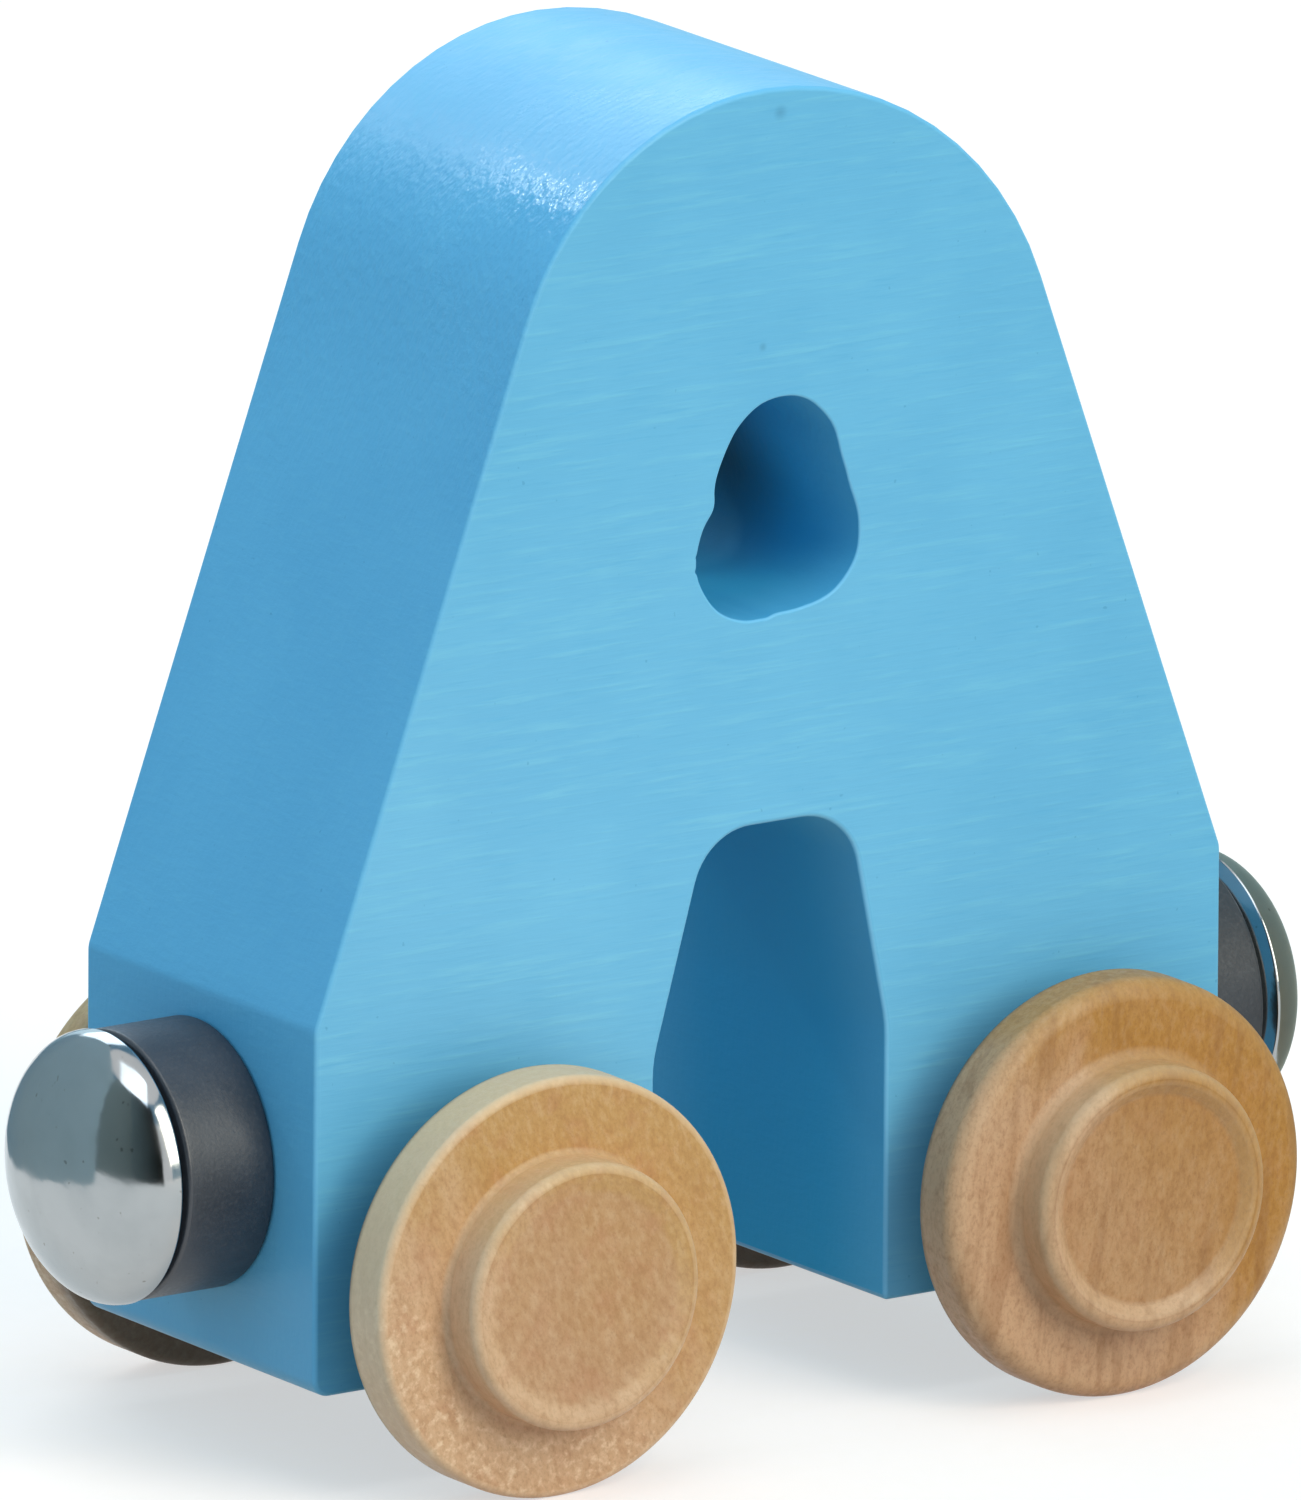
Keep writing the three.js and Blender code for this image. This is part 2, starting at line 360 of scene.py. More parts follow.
def steepness(profile):
    """How far a profile runs along its axis at each point: 1 on walls and 0 on flat ends."""
    result = []
    for i in range(len(profile)):
        along = profile[min(i + 1, len(profile) - 1)] - profile[max(i - 1, 0)]
        result.append(abs(along.y) / max(along.length, TINY))
    return result


def lathe(name, corners, origin, axis):
    """A turned piece: an open or looped profile of (radius, height, rounding) corners, spun round."""
    profile = subdivided(rounded_path(corners, closed=False), TURNED_STEP, closed=False)
    looped = corners[0] == corners[-1]
    spots = profile[:-1] if looped else profile
    up = Vector(axis)
    across = Vector((0, 0, 1))
    beside = up.cross(across)
    vertices, edges, walls, faces, rings = [], [], [], [], []
    for spot, bend, wall in zip(spots, bends(profile), steepness(profile)):
        sides = 1 if spot.x < TINY else LATHE_SIDES
        edges.extend([bend] * sides)
        walls.extend([wall] * sides)
        if spot.x < TINY:
            rings.append([len(vertices)])
            vertices.append(origin + up * spot.y)
            continue
        ring = []
        for i in range(LATHE_SIDES):
            angle = 2 * math.pi * i / LATHE_SIDES
            spoke = across * math.cos(angle) + beside * math.sin(angle)
            ring.append(len(vertices))
            vertices.append(origin + up * spot.y + spoke * spot.x)
        rings.append(ring)
    for near, far in zip(rings, rings[1:] + (rings[:1] if looped else [])):
        for i in range(LATHE_SIDES):
            j = (i + 1) % LATHE_SIDES
            quad = (near[i % len(near)], near[j % len(near)], far[j % len(far)], far[i % len(far)])
            faces.append(tuple(dict.fromkeys(quad)))
    piece = new_piece(name, vertices, faces, edge=edges, wall=walls)
    piece.data.set_sharp_from_angle(angle=CREASE_ANGLE)
    return piece


# Turned wheels, in millimetres from the inner face: a flange and a raised hub with a dished end
WHEEL_STYLES = {
    "left": {
        "flange": 0.42, "cove": 0.35, "hub_edge": 0.48,
        "crest": 5.7, "crest_rounding": 1.5, "floor": 5.05, "floor_rounding": 3, "dish": 0.17,
    },
    "right": {
        "flange": 0.95, "cove": 0.6, "hub_edge": 0.62,
        "crest": 5.6, "crest_rounding": 0.55, "floor": 5.0, "floor_rounding": 0.4, "dish": 0.48,
    },
}
FLANGE_THICKNESS = 2.9
HUB_RADIUS = 6.35
HUB_TOP = 6.33
SOCKET_DEPTH = 3.6
GLUE_GAP = 0.1
INNER_ROUNDING = 0.45
SOCKET_EASE = 0.1
AXLE_EASE = 0.3


def wheel_mesh(node, side):
    """A turned wheel in the place of its CAD node."""
    low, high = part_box(node)
    style = WHEEL_STYLES[side]
    radius = (high.x - low.x) / 2 / MM
    face = (high.y - low.y) / MM
    axle_low, axle_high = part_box(f"{side}_axle")
    socket = (axle_high.x - axle_low.x) / 2 / MM + GLUE_GAP
    at_front = high.y < 0
    inner = high.y if at_front else low.y
    origin = Vector(((low.x + high.x) / 2, inner, (low.z + high.z) / 2))
    corners = [
        (0, SOCKET_DEPTH, 0),
        (socket, SOCKET_DEPTH, 0),
        (socket, 0, SOCKET_EASE),
        (radius, 0, INNER_ROUNDING),
        (radius, FLANGE_THICKNESS, style["flange"]),
        (HUB_RADIUS, FLANGE_THICKNESS, style["cove"]),
        (HUB_TOP, face, style["hub_edge"]),
        (style["crest"], face, style["crest_rounding"]),
        (style["floor"], face - style["dish"], style["floor_rounding"]),
        (0, face - style["dish"], 0),
    ]
    scaled = [(r * MM, h * MM, rounding * MM) for r, h, rounding in corners]
    return lathe(f"{node}_turned", scaled, origin, (0, -1 if at_front else 1, 0))


def axle_mesh(side):
    """A dowel with eased ends in the place of its CAD node."""
    low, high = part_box(f"{side}_axle")
    radius = (high.x - low.x) / 2
    ease = AXLE_EASE * MM
    length = high.y - low.y
    corners = [
        (0, 0, 0),
        (radius - ease, 0, 0),
        (radius, ease, 0),
        (radius, length - ease, 0),
        (radius - ease, length, 0),
        (0, length, 0),
    ]
    origin = Vector(((low.x + high.x) / 2, low.y, (low.z + high.z) / 2))
    return lathe(f"{side}_axle_dowel", corners, origin, (0, 1, 0))


# Couplings: sizes of the pressed cap, the ring magnet and the nail
MAGNET_EDGE = 0.2 * MM
MAGNET_HOLE = 1.6 * MM
CAP_RIMS = {"left": 0.32 * MM, "right": 0.65 * MM}
CAP_WALL = 0.6 * MM
CAP_MOUTH = 1.25 * MM
CAP_SEAT = 0.7 * MM
CAP_RIDGES = {"left": 0.1 * MM, "right": 0.2 * MM}
CAP_STEPS = 28
NAIL_RADIUS = 1.3 * MM
NAIL_POINT = 2 * MM
NAIL_HEAD = 0.9 * MM
NAIL_NECK = 0.2 * MM
HEAD_UNDER = 0.1 * MM
HEAD_EDGE = 0.3 * MM


def coupling_place(node, side):
    """Foot of a coupling piece on the train's axis, the way it points, its length and radius."""
    low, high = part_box(node)
    way = 1 if side == "right" else -1
    foot = low.x if way == 1 else high.x
    origin = Vector((foot, (low.y + high.y) / 2, (low.z + high.z) / 2))
    return origin, (way, 0, 0), high.x - low.x, (high.z - low.z) / 2


def magnet_mesh(side):
    """A ferrite ring with eased edges."""
    origin, axis, length, radius = coupling_place(f"{side}_magnet", side)
    corners = [
        (MAGNET_HOLE, 0, 0),
        (radius, 0, MAGNET_EDGE),
        (radius, length, MAGNET_EDGE),
        (MAGNET_HOLE, length, 0),
        (MAGNET_HOLE, 0, 0),
    ]
    return lathe(f"{side}_ring_magnet", corners, origin, axis)


def cap_mesh(side):
    """A pressed cap: a rim that turns under to its seat, a fine ridge and a low dome."""
    origin, axis, length, radius = coupling_place(f"{side}_cap", side)
    rim = CAP_RIMS[side]
    crown = length - rim
    inner = radius - CAP_MOUTH
    ridge = CAP_RIDGES[side]
    corners = [(inner, rim, 0), (inner, 0, 0), (radius - CAP_SEAT, 0, ridge), (radius, rim, ridge)]
    # The ridge takes up the first step of the dome
    for k in range(2, CAP_STEPS + 1):
        angle = math.pi / 2 * k / CAP_STEPS
        across = radius * math.cos(angle) * (k < CAP_STEPS)
        corners.append((across, rim + crown * math.sin(angle), 0))
    for k in range(CAP_STEPS + 1):
        angle = math.pi / 2 * (1 - k / CAP_STEPS)
        across = inner * math.cos(angle) * (k > 0)
        corners.append((across, rim + (crown - CAP_WALL) * math.sin(angle), 0))
    return lathe(f"{side}_pressed_cap", corners, origin, axis)


def nail_mesh(side):
    """A round nail with its head inside the cap and its point in the block."""
    origin, axis, length, radius = coupling_place(f"{side}_nail", side)
    corners = [
        (0, 0, 0),
        (NAIL_RADIUS, NAIL_POINT, 0),
        (NAIL_RADIUS, length - NAIL_HEAD, NAIL_NECK),
        (radius, length - NAIL_HEAD, HEAD_UNDER),
        (radius, length, HEAD_EDGE),
        (0, length, 0),
    ]
    return lathe(f"{side}_round_nail", corners, origin, axis)


# Places of the colour sockets on a mix node
MIX_FIRST = 6
MIX_SECOND = 7
MIX_RESULT = 2


class Finish:
    """A node material with a Principled shader, and short calls for its texture nodes."""

    def __init__(self, name):
        self.material = bpy.data.materials.new(name)
        self.material.use_nodes = True
        self.tree = self.material.node_tree
        self.shader = self.tree.nodes["Principled BSDF"]
        self.place = self.node("ShaderNodeTexCoord").outputs["Object"]

    def node(self, kind, **settings):
        """A new node with its settings."""
        made = self.tree.nodes.new(kind)
        for key, value in settings.items():
            setattr(made, key, value)
        return made

    def feed(self, socket, value):
        """Links a socket to a value's output, or sets it to a plain number or colour."""
        if isinstance(value, bpy.types.NodeSocket):
            self.tree.links.new(value, socket)
        elif value is not None:
            socket.default_value = value

    def moved(self, scale, turn, shift):
        """The place on the piece, shifted, turned and then scaled, so that streaks follow the turn."""
        made = self.node("ShaderNodeMapping", vector_type="TEXTURE")
        self.feed(made.inputs["Vector"], self.place)
        made.inputs["Scale"].default_value = [1 / s for s in scale]
        made.inputs["Rotation"].default_value = turn
        made.inputs["Location"].default_value = shift
        return made.outputs["Vector"]

    def noise(self, scale, vector=None, detail=3, rough=0.5, distortion=0):
        """Cloudy noise from 0 to 1, with so many clouds in a metre."""
        made = self.node("ShaderNodeTexNoise")
        self.feed(made.inputs["Vector"], vector or self.place)
        made.inputs["Scale"].default_value = scale
        made.inputs["Detail"].default_value = detail
        made.inputs["Roughness"].default_value = rough
        made.inputs["Distortion"].default_value = distortion
        return made.outputs["Fac"]

    def streaks(self, scales, turn=(0, 0, 0), shift=(0, 0, 0), **look):
        """Noise drawn out into streaks, by its number of clouds in a metre along x, y and z."""
        return self.noise(1, self.moved(scales, turn, shift), **look)

    def range(self, value, low, high, to_low=0, to_high=1):
        """A value eased from one range to another and held at its ends."""
        made = self.node("ShaderNodeMapRange", interpolation_type="SMOOTHSTEP")
        self.feed(made.inputs["Value"], value)
        made.inputs["From Min"].default_value = low
        made.inputs["From Max"].default_value = high
        made.inputs["To Min"].default_value = to_low
        made.inputs["To Max"].default_value = to_high
        return made.outputs["Result"]

    def math(self, operation, a, b=None):
        """The result of an operation on one or two values."""
        made = self.node("ShaderNodeMath", operation=operation)
        self.feed(made.inputs[0], a)
        self.feed(made.inputs[1], b)
        return made.outputs["Value"]

    def times(self, a, b):
        """The product of two values."""
        return self.math("MULTIPLY", a, b)

    def mix(self, factor, a, b):
        """A colour between two others."""
        made = self.node("ShaderNodeMix", data_type="RGBA")
        self.feed(made.inputs["Factor"], factor)
        self.feed(made.inputs[MIX_FIRST], a)
        self.feed(made.inputs[MIX_SECOND], b)
        return made.outputs[MIX_RESULT]

    def attribute(self, name):
        """A mark on the piece's vertices."""
        return self.node("ShaderNodeAttribute", attribute_name=name).outputs["Fac"]

    def along(self, direction):
        """How far a place on the piece lies along a direction."""
        made = self.node("ShaderNodeVectorMath", operation="DOT_PRODUCT")
        self.feed(made.inputs[0], self.place)
        made.inputs[1].default_value = direction
        return made.outputs["Value"]

    def distance(self, place, spot):
        """Distance of a place from a spot."""
        made = self.node("ShaderNodeVectorMath", operation="DISTANCE")
        self.feed(made.inputs[0], place)
        made.inputs[1].default_value = spot
        return made.outputs["Value"]

    def from_axis(self, x, z):
        """Distance from an axle at (x, z)."""
        flat = self.node("ShaderNodeVectorMath", operation="MULTIPLY")
        self.feed(flat.inputs[0], self.place)
        flat.inputs[1].default_value = (1, 0, 1)
        return self.distance(flat.outputs["Vector"], (x, 0, z))

    def near(self, spot, radius):
        """1 at a spot, falling to 0 at a radius from it."""
        return self.range(self.distance(self.place, spot), 0, radius, 1, 0)

    def bump(self, height, depth, after=None):
        """A normal for a height from 0 to 1 that stands for a depth, on top of another normal."""
        made = self.node("ShaderNodeBump")
        self.feed(made.inputs["Height"], height)
        self.feed(made.inputs["Normal"], after)
        made.inputs["Distance"].default_value = depth
        return made.outputs["Normal"]

    def set(self, **sockets):
        """Feeds the shader's sockets and gives the finished material."""
        for name, value in sockets.items():
            self.feed(self.shader.inputs[name.replace("_", " ")], value)
        return self.material


def rgb(red, green, blue):
    """A linear colour from the 0 to 255 values that a screen shows."""
    def linear(value):
        share = value / 255
        return share / 12.92 if share <= 0.04045 else ((share + 0.055) / 1.055) ** 2.4
    return (linear(red), linear(green), linear(blue), 1)


WHITE = rgb(255, 255, 255)
# Tones of the paint on the faces and on the sawn walls, its painted highlight on rounded edges, the
# painted shade deep inside the counter and the painted shade of dents
PAINT_TONES = {
    "blue": rgb(105, 179, 213),
    "lighter": rgb(109, 183, 216),
    "pale_grain": rgb(130, 202, 220),
    "dark_grain": rgb(86, 166, 206),
    "speck": rgb(52, 120, 165),
    "sawn": rgb(50, 169, 211),
    "bare": rgb(10, 64, 60),
    "edge_lighting": rgb(140, 204, 234),
    "dent_shade": rgb(70, 128, 160),
}
# Place deep inside the counter where the sawn walls are darkened with painted shade, and its reach
COUNTER_SHADE_SPOT = (4.4 * MM, 1.4 * MM, FOOT + 38.6 * MM)
COUNTER_SHADE_RADIUS = 7.6 * MM
# The glossiest place, on the crown's front edge, and how far its gloss reaches
GLOSS_SPOT = (-11 * MM, -HALF_PLANK, FOOT + 54 * MM)
GLOSS_RADIUS = 17 * MM
# Heights between which the dimples in the walls grow deeper, and those between which they fade again
DIMPLES_GROW = (FOOT + 36 * MM, FOOT + 50 * MM)
DIMPLES_FADE = (FOOT + 53 * MM, FOOT + 57 * MM)
# Small dents in the front face, shown only as painted shade: place and radius
DENTS = (
    ((0.2 * MM, -HALF_PLANK, FOOT + 57.6 * MM), 0.5 * MM),
    ((-0.7 * MM, -HALF_PLANK, FOOT + 46.6 * MM), 0.3 * MM),
)


def blue_paint():
    """Semi-gloss paint over sanded hardwood: level grain streaks on the faces, dimples on the edges."""
    paint = Finish("blue_paint")
    tones = PAINT_TONES
    wall = paint.attribute("wall")
    sawn = paint.attribute("cut")
    blotches = paint.noise(140, detail=4)
    grain = paint.streaks((190, 900, 2900), detail=4, rough=0.6)
    fine = paint.streaks((420, 2600, 5200), detail=3, rough=0.6)
    specks = paint.noise(2600, detail=1)
    dimples = paint.streaks((1500, 3200, 1500), detail=2)
    face = paint.range(wall, 0, 1, 1, 0.35)
    pale_grain = paint.times(paint.range(grain, 0.48, 0.76, 0, 0.36), face)
    dark_grain = paint.times(paint.range(fine, 0.52, 0.78, 0, 0.3), face)
    colour = paint.mix(paint.range(blotches, 0.3, 0.7), tones["blue"], tones["lighter"])
    colour = paint.mix(pale_grain, colour, tones["pale_grain"])
    colour = paint.mix(dark_grain, colour, tones["dark_grain"])
    colour = paint.mix(paint.range(specks, 0.77, 0.82, 0, 0.3), colour, tones["speck"])
    # Sawn walls turn deeper and less red towards the middle of the plank: thinner paint, partly painted
    # shade
    across = paint.math("ABSOLUTE", paint.along((0, 1, 0)))
    inside = paint.range(across, HALF_PLANK, 0.4 * HALF_PLANK, 0.5, 0.92)
    colour = paint.mix(paint.times(sawn, inside), colour, tones["sawn"])
    # Painted shade deep inside the counter
    bare = paint.times(paint.near(COUNTER_SHADE_SPOT, COUNTER_SHADE_RADIUS), sawn)
    colour = paint.mix(paint.times(bare, 0.85), colour, tones["bare"])
    # Painted highlight along the rounded edges, stronger on the sawn ones
    edge_lighting = paint.range(paint.attribute("edge"), 0.2, 1, 0, 0.22)
    edge_lighting = paint.times(edge_lighting, paint.range(sawn, 0, 0.7, 1, 2.3))
    colour = paint.mix(edge_lighting, colour, tones["edge_lighting"])
    # Painted shade of the dents
    for spot, radius in DENTS:
        colour = paint.mix(paint.times(paint.near(spot, radius), 0.4), colour, tones["dent_shade"])
    height = paint.along((0, 0, 1))
    crown = paint.range(height, *DIMPLES_GROW, 0.18, 1)
    crown = paint.times(crown, paint.range(height, *DIMPLES_FADE, 1, 0.4))
    rough_edge = paint.times(paint.times(dimples, wall), crown)
    normal = paint.bump(grain, depth=0.02 * MM)
    normal = paint.bump(rough_edge, depth=0.08 * MM, after=normal)
    satin = paint.range(grain, 0.3, 0.7, 0.36, 0.46)
    shine = paint.range(paint.near(GLOSS_SPOT, GLOSS_RADIUS), 0, 1, 0.04, 0.26)
    roughness = paint.math("SUBTRACT", satin, paint.times(wall, shine))
    return paint.set(
        Base_Color=colour,
        Roughness=paint.math("MAXIMUM", roughness, paint.times(sawn, 0.7)),
        Specular_IOR_Level=0.2,
        Normal=normal,
    )


# Wood of the wheels on each side
MAPLE_TONES = {
    "left": {
        "dark": rgb(166, 110, 62), "gold": rgb(202, 150, 86), "pink": rgb(218, 170, 128),
        "pale": rgb(250, 212, 172), "dish": rgb(196, 144, 100),
    },
    "right": {
        "dark": rgb(138, 84, 34), "gold": rgb(182, 124, 46), "pink": rgb(206, 158, 118),
        "pale": rgb(222, 180, 136), "dish": rgb(180, 126, 70),
    },
}
# Painted shade for the wheels' inner faces
INNER_FACE_SHADE = rgb(62, 46, 32)
REDDER = rgb(196, 128, 88)
# How strongly they show grain lines, paler hub walls and rims as painted light, pale glints as painted
# highlights, and redder clouds
MAPLE_MARKS = {
    "left": {"lines": 0.1, "hub": 0.3, "rim": 0.6, "glints": 0.8, "blush": 0.3},
    "right": {"lines": 0.34, "hub": 0.45, "rim": 0.14, "glints": 0, "blush": 0.12},
}
# Distances from the axle between which the dish darkens, the painted glints start and the rims' painted
# light sets in
DISH_EDGE = (5.3 * MM, 4.8 * MM)
GLINT_EDGE = (6.8 * MM, 7.6 * MM)
RIM_EDGE = (7 * MM, 9 * MM)
# The back wheels' rims get less painted light, and the painted shade on their inner faces runs further
# over them
BACK_RIM = 0.1
INNER_SHADE_START = 0.15 * MM
FRONT_INNER_SHADE = 0.6 * MM
BACK_INNER_SHADE = 2 * MM
# The way towards which the wood turns pinker and paler, partly its tone and partly painted light from
# below, and how far the change spreads
PINK_WAYS = {"left": Vector((-0.5, 0, -0.87)), "right": Vector((-0.75, 0, -0.66))}
PINK_SPREAD = 9 * MM
# Each wheel's own wood: the turn of its grain in degrees, and its shift in metres
WHEEL_GRAIN = {
    "front_left_wheel": (66, (0.208, 0, 0)),
    "back_left_wheel": (-35, (0.195, 0.02, 0)),
    "front_right_wheel": (97, (0.221, 0, 0)),
    "back_right_wheel": (25, (0.208, 0.02, 0)),
}


def maple(node, side):
    """Turned maple, flecked, pinker to one side partly by painted light, with painted light on walls and
    edges, painted shade in hollows and on the inner face.
    """
    low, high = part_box(node)
    centre = (low + high) / 2
    inner = min(abs(low.y), abs(high.y))
    at_front = centre.y < 0
    tones = MAPLE_TONES[side]
    marks = MAPLE_MARKS[side]
    # Back wheels get less painted light on their rims and a wider painted shade on their inner faces
    rim = marks["rim"] if at_front else BACK_RIM
    shade_reach = FRONT_INNER_SHADE if at_front else BACK_INNER_SHADE
    degrees, shift = WHEEL_GRAIN[node]
    turn = (0, math.radians(degrees), 0)
    wood = Finish(f"{node}_maple")
    tone = wood.streaks((160, 220, 320), turn, shift, detail=3, distortion=0.5)
    mottle = wood.streaks((1500, 2600, 2600), turn, shift, detail=5, rough=0.62)
    flecks = wood.streaks((4200, 6400, 6400), turn, shift, detail=4, rough=0.65)
    lines = wood.streaks((90, 900, 900), turn, shift, detail=4, distortion=0.4)
    blush = wood.streaks((450, 450, 450), turn, shift, detail=4, rough=0.6)
    glints = wood.noise(2100, detail=4, rough=0.65)
    from_axle = wood.from_axis(centre.x, centre.z)
    middle = PINK_WAYS[side].dot(centre)
    # Pinker and paler towards the lower side: partly the wood's tone, partly painted light
    lower = wood.range(wood.along(PINK_WAYS[side]), middle - PINK_SPREAD, middle + PINK_SPREAD)
    pinker = wood.range(wood.math("ADD", lower, tone), 0.55, 1.35)
    colour = wood.mix(pinker, tones["gold"], tones["pink"])
    colour = wood.mix(wood.range(from_axle, *DISH_EDGE, 0, 0.65), colour, tones["dish"])
    colour = wood.mix(wood.range(blush, 0.48, 0.68, 0, marks["blush"]), colour, REDDER)
    colour = wood.mix(wood.range(mottle, 0.48, 0.72, 0, 0.32), colour, tones["dark"])
    colour = wood.mix(wood.range(mottle, 0.56, 0.24, 0, 0.2), colour, tones["pale"])
    colour = wood.mix(wood.range(flecks, 0.45, 0.72, 0, 0.34), colour, tones["dark"])
    colour = wood.mix(wood.range(lines, 0.5, 0.66, 0, marks["lines"]), colour, tones["dark"])
    # Pale glints on the lower flange: painted highlights
    on_flange = wood.times(wood.range(from_axle, *GLINT_EDGE), wood.range(lower, 0.6, 0.95))
    bright = wood.times(wood.range(glints, 0.46, 0.74, 0, marks["glints"]), on_flange)
    colour = wood.mix(bright, colour, tones["pale"])
    # Paler hub walls and rims: painted light
    paler = wood.times(wood.attribute("wall"), wood.range(from_axle, *RIM_EDGE, marks["hub"], rim))
    colour = wood.mix(paler, colour, tones["pale"])
    # Painted highlight on rounded edges, painted shade in hollows
    edge_lighting = wood.attribute("edge")
    colour = wood.mix(wood.range(edge_lighting, 0.1, 1, 0, 0.12), colour, tones["pale"])
    colour = wood.mix(wood.range(edge_lighting, -0.1, -1, 0, 0.1), colour, tones["dark"])
    # Painted shade on the inner face, which faces the block
    across = wood.math("ABSOLUTE", wood.along((0, 1, 0)))
    inner_shade = wood.range(across, inner + INNER_SHADE_START, inner + shade_reach, 0.8, 0)
    colour = wood.mix(inner_shade, colour, INNER_FACE_SHADE)
    normal = wood.bump(mottle, depth=0.02 * MM)
    normal = wood.bump(flecks, depth=0.015 * MM, after=normal)
    return wood.set(
        Base_Color=colour,
        Roughness=wood.range(mottle, 0.3, 0.7, 0.4, 0.56),
        Normal=normal,
    )


def dowel():
    """Plain dowel wood with its grain along the axle."""
    wood = Finish("dowel_wood")
    grain = wood.streaks((2200, 160, 2200), detail=4)
    pores = wood.streaks((6000, 900, 6000), detail=2)
    colour = wood.mix(wood.range(grain, 0.3, 0.7), rgb(178, 138, 92), rgb(205, 170, 125))
    colour = wood.mix(wood.range(pores, 0.58, 0.72, 0, 0.5), colour, rgb(140, 100, 60))
    return wood.set(
        Base_Color=colour,
        Roughness=wood.range(grain, 0.3, 0.7, 0.6, 0.72),
        Normal=wood.bump(grain, depth=0.03 * MM),
    )


def ferrite():
    """Ground ferrite: dark grey with a satin sheen and pinholes."""
    stone = Finish("ferrite_ring")
    grit = stone.noise(5200, detail=3)
    cloud = stone.noise(420, detail=3)
    pits = stone.noise(1900, detail=1)
    colour = stone.mix(stone.range(cloud, 0.3, 0.7), rgb(34, 39, 49), rgb(45, 49, 58))
    colour = stone.mix(stone.range(grit, 0.5, 0.75, 0, 0.35), colour, rgb(70, 72, 77))
    colour = stone.mix(stone.range(pits, 0.75, 0.8, 0, 0.8), colour, rgb(20, 22, 26))
    return stone.set(
        Base_Color=colour,
        Roughness=stone.range(grit, 0.3, 0.7, 0.38, 0.48),
        Specular_IOR_Level=0.9,
        Normal=stone.bump(grit, depth=0.01 * MM),
    )


def bright_metal(name, tone, hazy, smooth, rough):
    """Bright metal, a little wavy, with haze, pits and faint handling marks."""
    metal = Finish(name)
    haze = metal.noise(380, detail=4)
    marks = metal.streaks((5200, 420, 5200), (0.5, 0.3, 0.2), detail=3)
    pits = metal.noise(2600, detail=1)
    waves = metal.noise(380, detail=2)
    colour = metal.mix(metal.range(haze, 0.35, 0.7, 0, 0.6), tone, hazy)
    colour = metal.mix(metal.range(pits, 0.72, 0.8, 0, 0.6), colour, rgb(110, 106, 100))
    wavy = metal.bump(waves, depth=0.05 * MM)
    return metal.set(
        Base_Color=colour,
        Metallic=1.0,
        Roughness=metal.range(haze, 0.35, 0.7, smooth, rough),
        Normal=metal.bump(marks, depth=0.002 * MM, after=wavy),
    )


def make_car():
    """Every piece of the car, with its finish, on the body that carries it."""
    letter = place_piece(letter_mesh(), "letter_body", "car", blue_paint())
    chrome = bright_metal("bright_chrome", rgb(173, 177, 179), rgb(161, 166, 168), 0.1, 0.17)
    steel = bright_metal("nail_steel", rgb(160, 162, 165), rgb(186, 190, 190), 0.3, 0.42)
    ring = ferrite()
    rod = dowel()
    for side in ("left", "right"):
        place_piece(magnet_mesh(side), f"{side}_magnet", "car", ring)
        place_piece(cap_mesh(side), f"{side}_cap", "car", chrome)
        place_piece(nail_mesh(side), f"{side}_nail", "car", steel)
        wheelset = f"{side}_wheelset"
        place_piece(axle_mesh(side), f"{side}_axle", wheelset, rod)
        for end in ("front", "back"):
            node = f"{end}_{side}_wheel"
            place_piece(wheel_mesh(node, side), node, wheelset, maple(node, side))
    return letter


def way_to(azimuth, elevation):
    """The way from the car to a place at an azimuth from its front and an elevation."""
    flat = math.cos(elevation)
    return Vector((math.sin(azimuth) * flat, -math.cos(azimuth) * flat, math.sin(elevation)))


def make_camera():
    """A long lens at the photograph's viewing angle."""
    camera = bpy.data.objects.new("camera", bpy.data.cameras.new("camera"))
    bpy.context.scene.collection.objects.link(camera)
    back = way_to(VIEW_AZIMUTH, VIEW_ELEVATION)
    aim = (-back).to_track_quat("-Z", "Y").to_matrix() @ Matrix.Rotation(VIEW_ROLL, 3, "Z")
    camera.matrix_world = Matrix.Translation(VIEW_TARGET + back * VIEW_DISTANCE) @ aim.to_4x4()
    camera.data.lens = VIEW_LENS
    camera.data.sensor_width = VIEW_SENSOR
    camera.data.clip_end = VIEW_LIMIT
    bpy.context.scene.camera = camera


# Where the lamps face, and how far from there they stand
CAR_MIDDLE = Vector((0, 0, 0.03))
LAMP_DISTANCE = 0.7
# Soft boxes: azimuth and elevation in degrees, width and height in metres, power and colour
SOFT_BOXES = {
    "front_soft": (12, 32, (0.3, 0.6), 3.15, (1.0, 0.92, 0.75)),
    "top_soft": (-60, 76, (0.42, 0.42), 1.1, (0.82, 0.92, 1.0)),
    "back_soft": (171, 37, (0.58, 0.35), 1.6, (0.85, 0.94, 1.0)),
    "back_low": (147, 17, (0.4, 0.3), 0.3, (0.75, 0.92, 1.0)),
}
# Small lamps for the letter alone: a glint on its crown, and warm light as if thrown back by the wheels
CROWN_GLINT = (-159, 40, (0.03, 0.03), 0.4, (1, 1, 1))
WHEEL_BOUNCE = (0, 0, (0.02, 0.02), 0.0019, (1.0, 0.55, 0.45))
BOUNCE_PLACE = Vector((-9, -35, 23)) * MM


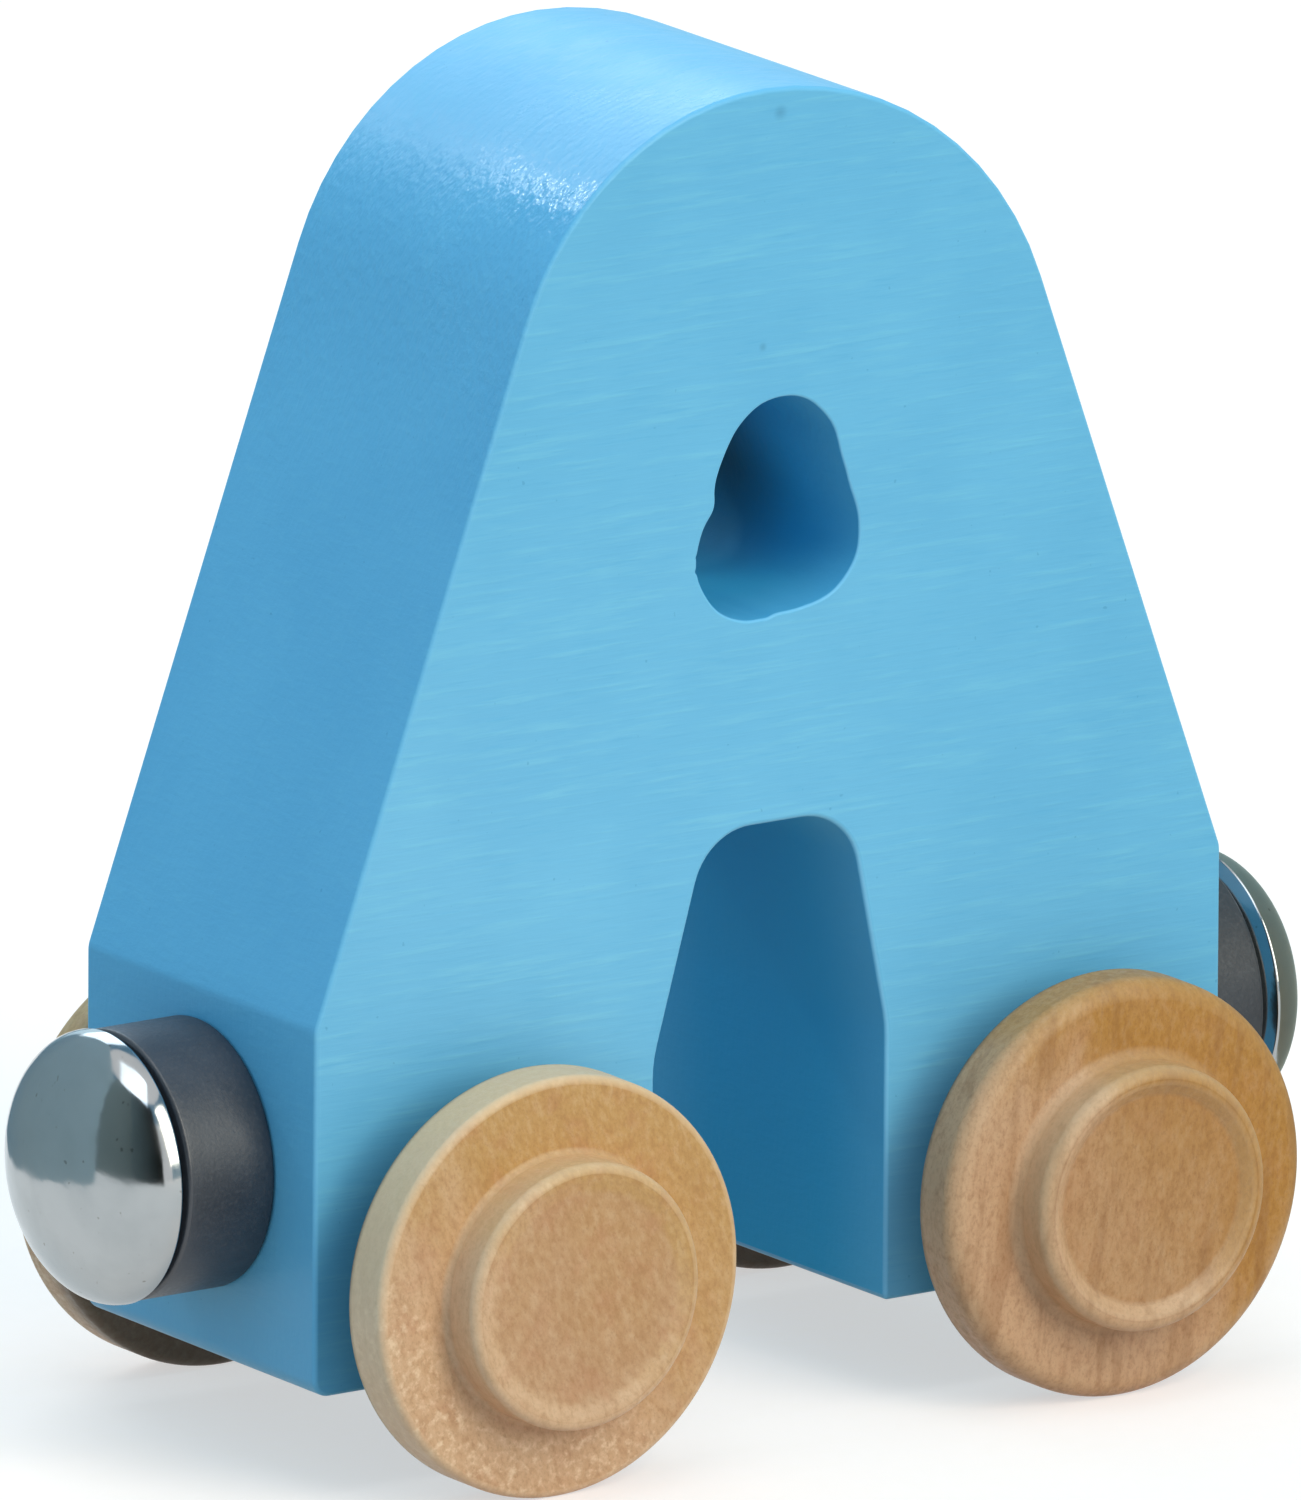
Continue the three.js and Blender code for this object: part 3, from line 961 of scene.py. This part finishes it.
def area_light(name, azimuth, elevation, size, power, colour):
    """A soft box that faces the car's middle, at angles counted as the camera's are."""
    way = way_to(math.radians(azimuth), math.radians(elevation))
    lamp = bpy.data.lights.new(name, "AREA")
    lamp.shape = "RECTANGLE"
    lamp.size, lamp.size_y = size
    lamp.energy = power
    lamp.color = colour
    light = bpy.data.objects.new(name, lamp)
    light.location = CAR_MIDDLE + way * LAMP_DISTANCE
    light.rotation_mode = "QUATERNION"
    light.rotation_quaternion = (-way).to_track_quat("-Z", "Y")
    light.visible_camera = False
    bpy.context.scene.collection.objects.link(light)
    return light


def make_lights(letter):
    """Plain soft studio light in front, above and behind, and two small lamps for the letter alone."""
    for name, lamp in SOFT_BOXES.items():
        area_light(name, *lamp)
    glint = area_light("crown_glint", *CROWN_GLINT)
    bounce = area_light("wheel_bounce", *WHEEL_BOUNCE)
    bounce.location = BOUNCE_PLACE
    painted = bpy.data.collections.new("painted")
    painted.objects.link(letter)
    for light in (glint, bounce):
        light.light_linking.receiver_collection = painted


def stage_card(name, corners, low, high, start, end):
    """A cloth card through places on the floor, shaded from end to end, seen only in gloss and metal."""
    vertices, faces = [], []
    for x, y in corners:
        vertices += [(x, y, low), (x, y, high)]
    for i in range(len(corners) - 1):
        faces.append((2 * i, 2 * i + 2, 2 * i + 3, 2 * i + 1))
    mesh = bpy.data.meshes.new(name)
    mesh.from_pydata(vertices, [], faces)
    card = bpy.data.objects.new(name, mesh)
    bpy.context.scene.collection.objects.link(card)
    cloth = Finish(f"{name}_cloth")
    weave = cloth.noise(700, detail=2)
    run = Vector(corners[-1]) - Vector(corners[0])
    run = run.to_3d() / max(run.length, TINY)
    first = run.dot(Vector(corners[0]).to_3d())
    last = run.dot(Vector(corners[-1]).to_3d())
    share = cloth.range(cloth.along(run), first, max(last, first + TINY))
    share = cloth.math("ADD", share, cloth.range(weave, 0, 1, -0.05, 0.05))
    cloth.set(Base_Color=cloth.mix(share, start, end), Roughness=0.9, Specular_IOR_Level=0.1)
    mesh.materials.append(cloth.material)
    card.visible_camera = False
    card.visible_diffuse = False
    card.visible_shadow = False


# Tall grey screen, in metres: its low part leaves a gap in front, and its ends are angles in degrees
SCREEN_RADIUS = 0.78
SCREEN_SEAM = 0.75
SCREEN_TOP = 1.4
SCREEN_OPEN = (4, 334)
SCREEN_ROUND = (0, 360)
SCREEN_STEPS = 48
SCREEN_GREY = rgb(180, 196, 202)
# Cards near the car, in metres: places along the floor, lower and upper edge, and the tones of both ends
LEFT_PLACES = [(-0.078, 0.008), (-0.02, 0.045)]
RIGHT_PLACES = [(0.044, -0.03), (0.044, 0.03)]
DARK_PLACES = [(-0.18, 0.035), (-0.171, -0.06), (-0.105, -0.147), (-0.075, -0.164)]
NEAR_CARDS = {
    "left_card": (LEFT_PLACES, 0.006, 0.09, SCREEN_GREY, SCREEN_GREY),
    "right_card": (RIGHT_PLACES, 0, 0.09, rgb(232, 200, 162), rgb(255, 248, 222)),
    "dark_card": (DARK_PLACES, 0, 0.285, rgb(150, 154, 148), rgb(40, 38, 32)),
}


def around(start, end):
    """Places on the screen's circle from one angle to another, counted as the camera's are."""
    places = []
    for i in range(SCREEN_STEPS + 1):
        angle = math.radians(start + (end - start) * i / SCREEN_STEPS)
        places.append((SCREEN_RADIUS * math.sin(angle), -SCREEN_RADIUS * math.cos(angle)))
    return places


def make_cards():
    """Surroundings for the metal: a tall screen, near cards at the ends and a dark one in front."""
    stage_card("low_screen", around(*SCREEN_OPEN), 0, SCREEN_SEAM, SCREEN_GREY, SCREEN_GREY)
    stage_card("high_screen", around(*SCREEN_ROUND), SCREEN_SEAM, SCREEN_TOP, SCREEN_GREY, SCREEN_GREY)
    for name, card in NEAR_CARDS.items():
        stage_card(name, *card)


def seen_rays(tree):
    """1 for camera, glossy and transmission rays, which see the background, and 0 for the rest."""
    path = tree.nodes.new("ShaderNodeLightPath")
    seen = path.outputs["Is Camera Ray"]
    for name in ("Is Glossy Ray", "Is Transmission Ray"):
        either = tree.nodes.new("ShaderNodeMath")
        either.operation = "MAXIMUM"
        tree.links.new(seen, either.inputs[0])
        tree.links.new(path.outputs[name], either.inputs[1])
        seen = either.outputs["Value"]
    return seen


# Even light from all around, and the floor: its size and the white that it adds for the rays that see it
SKY_LIGHT = (0.255, 0.54, 0.77, 1)
FLOOR_RADIUS = 0.9
FLOOR_SIDES = 96
FLOOR_WHITE = 0.56


def make_world():
    """An even cool light around the car, seen as plain white behind it."""
    world = bpy.data.worlds.new("studio")
    world.use_nodes = True
    bpy.context.scene.world = world
    tree = world.node_tree
    colour = tree.nodes.new("ShaderNodeMix")
    colour.data_type = "RGBA"
    tree.links.new(seen_rays(tree), colour.inputs["Factor"])
    colour.inputs[MIX_FIRST].default_value = SKY_LIGHT
    colour.inputs[MIX_SECOND].default_value = WHITE
    tree.links.new(colour.outputs[MIX_RESULT], tree.nodes["Background"].inputs["Color"])


def make_floor():
    """A plain pale floor that keeps the car's shadow."""
    ring = []
    for i in range(FLOOR_SIDES):
        angle = 2 * math.pi * i / FLOOR_SIDES
        ring.append((FLOOR_RADIUS * math.cos(angle), FLOOR_RADIUS * math.sin(angle), 0))
    mesh = bpy.data.meshes.new("pale_floor")
    mesh.from_pydata(ring, [], [tuple(range(FLOOR_SIDES))])
    floor = bpy.data.objects.new("pale_floor", mesh)
    bpy.context.scene.collection.objects.link(floor)
    paper = Finish("pale_paper")
    tooth = paper.noise(900, detail=2)
    paper.set(
        Base_Color=paper.mix(tooth, rgb(196, 178, 166), rgb(202, 184, 172)),
        Roughness=0.9,
        Specular_IOR_Level=0.1,
        Emission_Color=WHITE,
        Emission_Strength=paper.range(seen_rays(paper.tree), 0, 1, 0, FLOOR_WHITE),
    )
    mesh.materials.append(paper.material)


make_camera()
make_lights(make_car())
make_cards()
make_world()
make_floor()
bpy.context.scene.view_settings.view_transform = "Standard"
